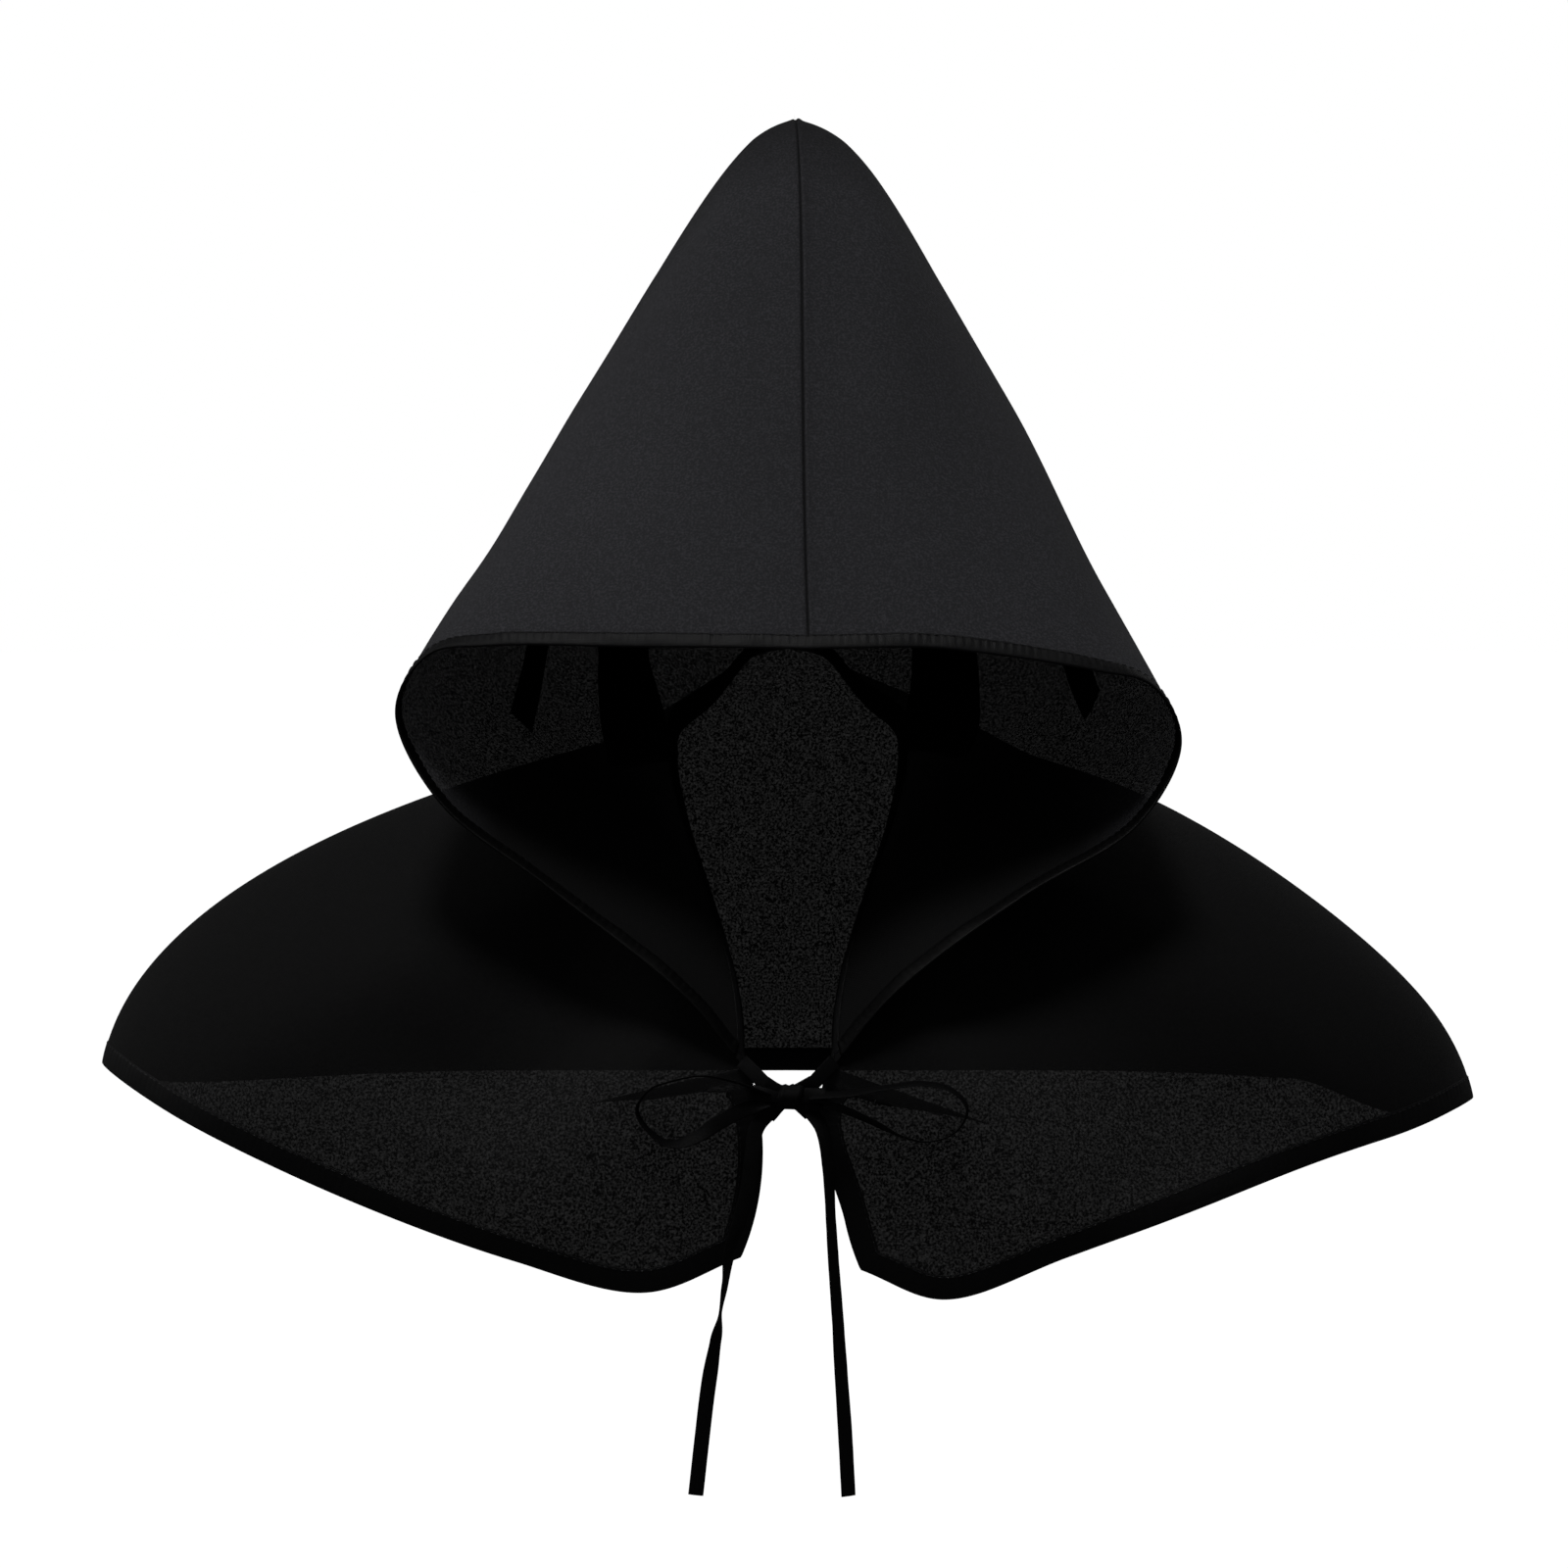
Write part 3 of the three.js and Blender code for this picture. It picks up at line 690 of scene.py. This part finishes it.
def evenRun(clothPiece, edge, step):
    # places along an edge a step apart, and the length of the edge
    count = 900
    points = [pointOn(clothPiece, *edge(k / count)) for k in range(count + 1)]
    shares, length = evenShares(points, step)
    return [edge(clamp(s)) for s in shares], length


def smoothed(vectors, reach):
    result = []
    for k in range(len(vectors)):
        near = vectors[max(k - reach, 0):k + reach + 1]
        result.append(sum(near, Vector()) / len(near))
    return result


def inwardOf(clothPiece, spot, rim, tangent, normal):
    # square to the edge, on the side where the cloth is
    side, a, b = spot
    step = 0.04
    within = pointOn(clothPiece, side, mix(a, 0.5, step), mix(b, 0.5, step)) - rim
    inward = tangent.cross(normal).normalized()
    return inward if inward.dot(within) > 0 else -inward


def hemRun(clothPiece, edge, width, step):
    # for each step: the edge, the inner side of the band, the normal and the direction
    run, length = evenRun(clothPiece, edge, step)
    rims = [pointOn(clothPiece, *spot) for spot in run]
    tangents = smoothed(
        [(rims[min(k + 1, len(rims) - 1)] - rims[max(k - 1, 0)]).normalized() for k in range(len(rims))], 3,
    )
    normals = smoothed([normalOn(clothPiece, *spot) for spot in run], 3)
    inner = []
    for spot, rim, tangent, normal in zip(run, rims, tangents, normals):
        inward = inwardOf(clothPiece, spot, rim, tangent, normal)
        side, a, b = spot
        e = 0.002
        for _ in range(3):
            here = pointOn(clothPiece, side, a, b)
            ea = -e if a > 0.5 else e
            eb = -e if b > 0.5 else e
            da = (pointOn(clothPiece, side, a + ea, b) - here) / ea
            db = (pointOn(clothPiece, side, a, b + eb) - here) / eb
            gone = here - rim
            needIn, needAlong = width - gone.dot(inward), -gone.dot(tangent)
            ai, bi, af, bf = da.dot(inward), db.dot(inward), da.dot(tangent), db.dot(tangent)
            det = ai * bf - bi * af
            a = clamp(a + (needIn * bf - needAlong * bi) / det)
            b = clamp(b + (needAlong * ai - needIn * af) / det)
        inner.append(pointOn(clothPiece, side, a, b))
    return rims, smoothed(inner, 4), [n.normalized() for n in normals], tangents, length


def puckers(settings, distance, seed):
    wave = math.sin(2 * math.pi * distance / settings["pitch"])
    uneven = 0.6 + 0.8 * noise.noise(Vector((distance / 9, seed, 0)))
    slow = noise.noise(Vector((distance / 14, seed, 5)))
    return settings["pucker"] * (wave * uneven + 1.2 * slow)


def makeHem(name, clothPiece, edge, settings, node, seed):
    rims, inner, normals, tangents, length = hemRun(clothPiece, edge, settings["width"], settings["step"])
    last = len(rims) - 1

    def place(i, j):
        k = round(i * last)
        angle = 2 * math.pi * j
        inward = (1 + math.cos(angle)) / 2
        flat = flattened(angle, 0.55)
        pucker = puckers(settings, length * i, seed) * smoothstep(0.05, 0.7, inward)
        height = flat * settings["thickness"] / 2 + (pucker if abs(flat) > 0.2 else 0)
        point = rims[k].lerp(inner[k], inward * 1.04 - 0.06)
        return point + normals[k] * height

    bm = grid(place, last, 18, closed=True)
    size = (2 * settings["width"], length)
    piece = newPiece(name, bm, hemMaterial(name + "Cloth", size, settings["tone"], settings["ends"]), node)
    return rims, inner, normals, tangents, length


stitch = {"half": 1.25, "thin": 0.2}  # half of its length and of its thickness


def makeStitches(name, run, settings, seed, material):
    rims, inner, normals, tangents, length = run
    bm = bmesh.new()
    last = len(rims) - 1
    for n in range(int(length / settings["pitch"])):
        distance = (n + 0.25) * settings["pitch"]
        k = round(distance / length * last)
        centre = rims[k].lerp(inner[k], settings["stitchAt"])
        lift = settings["thickness"] * 0.36 + puckers(settings, distance, seed) * 0.8
        centre += normals[k] * lift
        tangent = tangents[k].normalized()
        inward = tangent.cross(normals[k]).normalized()
        turn = Matrix((tangent * stitch["half"], inward * stitch["thin"], normals[k] * stitch["thin"]))
        matrix = Matrix.Translation(toRow(centre)) @ Matrix.Scale(mm, 4) @ turn.transposed().to_4x4()
        bmesh.ops.create_uvsphere(bm, u_segments=6, v_segments=4, radius=1, matrix=matrix)
    bmesh.ops.recalc_face_normals(bm, faces=bm.faces)
    piece = newPiece(name, bm, material)
    return piece


def faceEdge(s):  # from the left end of the neckline over the brow to the right end
    side, up = fromLeft(s)
    return side, 0, mix(0.012, 1, up)


def capeEdge(s):  # down the left front edge, round the lower edge and up the right front edge
    front, top = 0.07, 0.05
    if s < front:
        return -1, 0, mix(top, 1, s / front)
    if s > 1 - front:
        return 1, 0, mix(top, 1, (1 - s) / front)
    side, turn = fromLeft((s - front) / (1 - 2 * front))
    return side, turn, 1


# Neck seam: the two cloths' edges turned to the inside

neckBand = {"capeReach": 4, "thickness": 0.8, "ripple": 0.3, "rows": 300, "clear": 1.3, "tone": 0.003}


def seamReach(turn):  # how far the band lies up the hood: narrow in front, wide at the shoulders
    return mix(3.5, 6.5, smoothstep(0.3, 0.8, turn)) + 5 * bump(turn, 0.6, 0.22)


def makeNeckBand():
    step, end = 0.02, 0.01

    def place(i, j):
        side, turn = fromLeft(mix(end, 1 - end, i))
        share = neckShare(turn)
        neck = pointOn(hood, side, share, 0)
        toHood = (pointOn(hood, side, share, step) - neck).normalized()
        toCape = (pointOn(cape, side, turn, step) - neck).normalized()
        along = toHood.cross(toCape).normalized()
        angle = 2 * math.pi * j
        reach = math.cos(angle)
        onHood = smoothstep(-0.3, 0.3, reach)
        normal = (toHood.cross(along) * onHood + along.cross(toCape) * (1 - onHood)).normalized()
        if normal.dot(toHood + toCape) > 0:
            normal = -normal
        flat = flattened(angle)
        ripple = neckBand["ripple"] * noise.noise(neck / 9)
        spot = neck + toHood * (max(reach, 0) * seamReach(turn)) + toCape * (max(-reach, 0) * neckBand["capeReach"])
        return spot + normal * (neckBand["clear"] + ripple + flat * neckBand["thickness"] / 2)

    bm = grid(place, neckBand["rows"], 24, closed=True)
    piece = newPiece("neckSeamBand", bm, hemMaterial("neckSeamCloth", (18, 480), neckBand["tone"]), "neck_band")
    return piece


# Pleats laid down inside the back of the hood. Each row is a height, and the nearer and the farther
# edge by their distance from the middle.

pleats = {
    "thickness": 0.5,
    "clear": 0.9,
    "ripple": 0.4,
    "steps": 40,
    "tone": 0.003,
    "left": [
        [(188, 99, 107), (173, 100, 109), (146, 104, 115), (119, 109, 121), (100, 112, 124)],
        [(188, 57, 80), (173, 58, 79), (158, 54, 78), (145, 50, 76), (132, 48, 72)],
    ],
    "right": [
        [(188, 52, 79), (173, 52, 79), (158, 51, 79), (146, 48, 78), (135, 47, 72)],
        [(188, 112, 122), (170, 114, 125), (155, 119, 130), (146, 124, 132), (141, 128, 130)],
    ],
}


def backShares(side, wanted):
    # shares of the hood at which its back has that distance from the middle and that height
    a, b = 0.7, 0.35
    e = 0.003
    stride = 0.06
    for _ in range(20):
        here = pointOn(hood, side, a, b)
        da = (here - pointOn(hood, side, a - e, b)) / e
        db = (pointOn(hood, side, a, b + e) - here) / e
        missX, missZ = side * wanted.x - here.x, wanted.z - here.z
        det = da.x * db.z - db.x * da.z
        a += min(max((missX * db.z - missZ * db.x) / det, -stride), stride)
        b += min(max((missZ * da.x - missX * da.z) / det, -stride), stride)
        a, b = min(max(a, 0.3), 0.997), min(max(b, 0.004), 0.9)
    return Vector((a, b))


def makePleats(side, name, rows):
    bm = bmesh.new()
    steps = pleats["steps"]
    for pleat in rows:
        fine = []
        for k in (1, 2):
            edge = [Vector((row[k], 0, row[0])) for row in pleat]
            fine.append([backShares(side, alongRail(edge, i / steps)) for i in range(steps + 1)])

        def place(i, j):
            angle = 2 * math.pi * j
            k = round(i * steps)
            a, b = fine[0][k].lerp(fine[1][k], (1 - math.cos(angle)) / 2)
            flat = flattened(angle)
            ripple = pleats["ripple"] * noise.noise(Vector((i * 3, j, rows.index(pleat))))
            off = pleats["clear"] + ripple + flat * pleats["thickness"] / 2
            return pointOn(hood, side, a, b) - normalOn(hood, side, a, b) * off

        joinInto(bm, grid(place, steps, 18, closed=True))
    piece = newPiece(name, bm, hemMaterial(name + "Cloth", (20, 90), pleats["tone"]))
    return piece


# Ribbon: middle points and the turn of the width, 0 with its broad side to the front, 90 edge-on

ribbonRoutes = {
    "tie_loop_left": [
        (-7.1, -118.8, 14.9, 70), (-21, -120.5, 20.6, 75), (-33.7, -120, 22.9, 80), (-45, -120, 20.9, 80),
        (-54, -120, 17.4, 80), (-58.9, -120, 9.8, 80), (-55, -120, 2.1, 80), (-46.5, -120, -3.8, 70),
        (-37, -120, -1.8, 45), (-27, -120, 4.6, 10), (-17, -119.5, 9.6, 15), (-7.4, -118.5, 12.6, 60),
    ],
    "tie_loop_right": [
        (7.9, -118.8, 14.9, 70), (24.5, -120.5, 16.2, 75), (39, -120, 18.6, 80), (53.5, -120, 20, 80),
        (64.5, -120, 17, 80), (70, -120, 9.8, 80), (65.8, -120, 1.2, 80), (54.5, -120, -3.2, 80),
        (44, -120, -0.9, 75), (34, -120, 4.1, 60), (22, -119.5, 9.4, 50), (8.2, -118.5, 12.8, 60),
    ],
    "tie_tail_left": [
        (-5.6, -117.5, 9.8, 0), (-12.2, -119.5, 2.4, 0), (-14.2, -121, -9.4, 0), (-15.8, -121.5, -21.3, 0),
        (-18.7, -121.5, -33.2, 10), (-22.6, -121.5, -45.5, 40), (-24.5, -121, -59, 65), (-26.4, -120, -70.5, 80),
        (-28.3, -119, -82, 40), (-31.4, -118, -101.3, 0), (-33.7, -117.5, -120.5, 0), (-36.3, -117, -144.1, 0),
    ],
    "tie_tail_right": [
        (7.6, -117.5, 10.2, 20), (13.2, -119.5, 2, 30), (15.6, -121, -12, 40), (16.6, -121, -30, 50),
        (17.8, -120.5, -50, 45), (19.4, -119.5, -72, 40), (20.9, -118.5, -96, 30), (22.5, -117.5, -120.5, 20),
        (23.8, -117, -144.5, 20),
    ],
}


def leadRoute(side):
    start = pointOn(cape, side, 0.02, 0.02) + Vector((0, -1.8, 0))
    end = knotCentre + Vector((side * 7, -0.8, 2.8))
    middle = start.lerp(end, 0.5) + Vector((0, -1.2, 0.4))
    return [(*start, 0), (*middle, side * 8), (*end, side * 15)]


def alongRibbon(route, step):
    # points, tangents and turns a step apart
    points = [Vector(row[:3]) for row in route]
    turns = [math.radians(row[3]) for row in route]
    count = 60 * (len(points) - 1)
    shares, length = evenShares([alongRail(points, k / count) for k in range(count + 1)], step, 8)
    rows = []
    for t in shares:
        ahead = alongRail(points, min(t + 0.002, 1))
        behind = alongRail(points, max(t - 0.002, 0))
        at = t * (len(turns) - 1)
        i = min(int(at), len(turns) - 2)
        turn = mix(turns[i], turns[i + 1], smoothstep(0, 1, at - i))
        rows.append((alongRail(points, t), (ahead - behind).normalized(), turn))
    return rows, length


def ribbonMesh(route, width, cupping=0.25, thickness=None):
    rows, length = alongRibbon(route, ribbon["step"])
    last = len(rows) - 1
    half = (thickness or ribbon["thickness"]) / 2

    def place(i, j):
        point, tangent, turn = rows[round(i * last)]
        inPlane = Vector((0, 1, 0)).cross(tangent).normalized()
        inDepth = inPlane.cross(tangent).normalized()
        across = inPlane * math.cos(turn) + inDepth * math.sin(turn)
        normal = tangent.cross(across)
        angle = 2 * math.pi * j
        out = math.cos(angle)
        flat = flattened(angle)
        edge = 1 + 0.35 * smoothstep(0.75, 0.95, abs(out))
        curl = cupping * (out * out - 0.5) + 0.12 * noise.noise(point / 6)
        return point + across * (out * width / 2) + normal * (flat * half * edge + curl)

    return grid(place, last, 20, closed=True), rows, length


def makeRibbon(node, route, farEnd=None):
    bm, rows, length = ribbonMesh(route, ribbon["width"])
    piece = newPiece(node.replace("tie_", "ribbon_"), bm, ribbonMaterial(node + "Weave", length), node)
    if farEnd:
        path = [toRow(point) for point, _, _ in rows]
        length * mm
    return piece


knotWrap = {"radius": 4.1, "halfWidth": 4.6, "halfThickness": 0.45, "pinch": 0.35, "rise": 0.9, "forward": 0.6}


def makeKnot():
    # strands of the bow that cross under one short wrap
    x, y, z = knotCentre
    strands = [
        ([(-9.8, y - 0.8, 19.8, -10), (-4.6, y - 1.6, 16.6, -10), (2, y - 1, 14, 0), (8.8, y - 0.5, 8, 20)], 6.6),
        ([(10, y - 0.8, 19.8, 10), (4.8, y - 0.6, 16.8, 10), (-2, y + 0.2, 13, 10), (-8, y - 0.5, 6.8, 0)], 6.6),
        ([(-14, y - 1.8, 16.8, 40), (-7, y - 2.2, 15.4, 15), (7, y - 2.2, 15, 15), (15, y - 1.8, 15.4, 40)], 6.4),
        ([(-14.5, y - 1.2, 9.4, 30), (-6, y - 1.6, 12.4, 10), (6, y - 1.6, 12.4, 15), (14, y - 1.2, 11.4, 45)], 6.2),
    ]
    bm = bmesh.new()
    for route, width in strands:
        strand, _, _ = ribbonMesh(route, width, 0.5, 0.8)
        joinInto(bm, strand)

    def wrap(i, j):
        angle = 2 * math.pi * i
        centre = Vector((x + 0.9 * math.sin(angle), y - knotWrap["forward"], z + knotWrap["rise"]))
        out = Vector((0.12 * math.sin(angle), -math.cos(angle), math.sin(angle)))
        around = 2 * math.pi * j
        flat = flattened(around)
        pinch = knotWrap["pinch"] * math.cos(3 * math.pi * math.cos(around))
        radius = knotWrap["radius"] - 0.3 * abs(out.z) + flat * knotWrap["halfThickness"] + pinch
        return centre + out * radius + Vector((math.cos(around) * knotWrap["halfWidth"], 0, 0))

    joinInto(bm, grid(wrap, 40, 20, closed=True))
    piece = newPiece("ribbon_knot", bm, ribbonMaterial("knotWeave", 40), "tie_knot")
    return piece


def joinInto(bm, other):
    mesh = bpy.data.meshes.new("strand")
    other.to_mesh(mesh)
    other.free()
    bm.from_mesh(mesh)
    bpy.data.meshes.remove(mesh)


# Studio

studio = {
    "ambient": 0.06,
    "floorLevel": -302.8,
    "floorRadius": 6,
    "spotAngle": 22,
    # kind, place, power, size and target
    "lights": {
        "spot": ("SPOT", (-230, -620, 2300), 108, 0.45, (0, -40, 320)),
        "rim": ("AREA", (-1700, 300, 900), 3, 1.0, (0, 0, 130)),
        "back": ("AREA", (900, 1800, 1300), 1, 1.2, (0, 0, 130)),
    },
}


def makeWorld():
    world = bpy.data.worlds.new("studio")
    world.use_nodes = True
    tree = world.node_tree
    tree.nodes.clear()
    seen = addNode(tree, "ShaderNodeLightPath")
    strength = mix(studio["ambient"], 1.0, seen)
    light = addNode(tree, "ShaderNodeBackground", inputs={"Color": (1, 1, 1, 1), "Strength": strength})
    addNode(tree, "ShaderNodeOutputWorld", inputs=[light])
    bpy.context.scene.world = world
    bpy.context.scene.view_settings.view_transform = "Standard"


def makeFloor():
    bm = bmesh.new()
    matrix = Matrix.Translation((0, 0, toRow(Vector((0, 0, studio["floorLevel"]))).z))
    bmesh.ops.create_circle(bm, cap_ends=True, segments=96, radius=studio["floorRadius"], matrix=matrix)
    mesh = bpy.data.meshes.new("floor")
    bm.to_mesh(mesh)
    bm.free()
    floor = bpy.data.objects.new("floor", mesh)
    bpy.context.collection.objects.link(floor)
    material, tree = startMaterial("paleFloor")
    seen = addNode(tree, "ShaderNodeLightPath")
    dust = objectNoise(tree, 3.0, 2.0)
    dark, light = (0.3, 0.3, 0.3, 1), (0.34, 0.34, 0.34, 1)
    tone = blended(tree, dust, dark, light)
    finishMaterial(tree, {
        "Base Color": tone, "Roughness": 0.9, "Emission Color": (1, 1, 1, 1), "Emission Strength": seen,
    })
    mesh.materials.append(material)


def makeLight(name, kind, place, power, size, target):
    data = bpy.data.lights.new(name, kind)
    data.energy = power
    if kind == "AREA":
        data.size = size
    else:
        data.shadow_soft_size = size
        data.spot_size = math.radians(studio["spotAngle"])
        data.spot_blend = 1
    light = bpy.data.objects.new(name, data)
    light.location = toRow(Vector(place))
    light.rotation_euler = (Vector(target) - Vector(place)).to_track_quat("-Z", "Y").to_euler()
    bpy.context.collection.objects.link(light)


makeCamera()
print("camera placed")

threadStuff = threadMaterial()
knot = makeKnot()
leads = [makeRibbon("tie_lead_left", leadRoute(-1)), makeRibbon("tie_lead_right", leadRoute(1))]
makeRibbon("tie_loop_left", ribbonRoutes["tie_loop_left"], "knot")
makeRibbon("tie_loop_right", ribbonRoutes["tie_loop_right"], "knot")
makeRibbon("tie_tail_left", ribbonRoutes["tie_tail_left"], "bare")
makeRibbon("tie_tail_right", ribbonRoutes["tie_tail_right"], "bare")
print("ribbon tied")

makeHoodPanel(-1, "hoodPanelLeft", "hood_panel_left")
makeHoodPanel(1, "hoodPanelRight", "hood_panel_right")
print("hood made")

makeCape()
makeNeckBand()
makePleats(-1, "pleatsLeft", pleats["left"])
makePleats(1, "pleatsRight", pleats["right"])
print("cape made")

faceRun = makeHem("faceHem", hood, faceEdge, faceHem, "face_hem", 3)
capeRun = makeHem("capeHem", cape, capeEdge, capeHem, "cape_hem", 8)
makeStitches("faceStitches", faceRun, faceHem, 3, threadStuff)
makeStitches("capeStitches", capeRun, capeHem, 8, threadStuff)
print("hems sewn")

makeWorld()
makeFloor()
for lightName, settings in studio["lights"].items():
    makeLight(lightName, *settings)
print("studio lit")
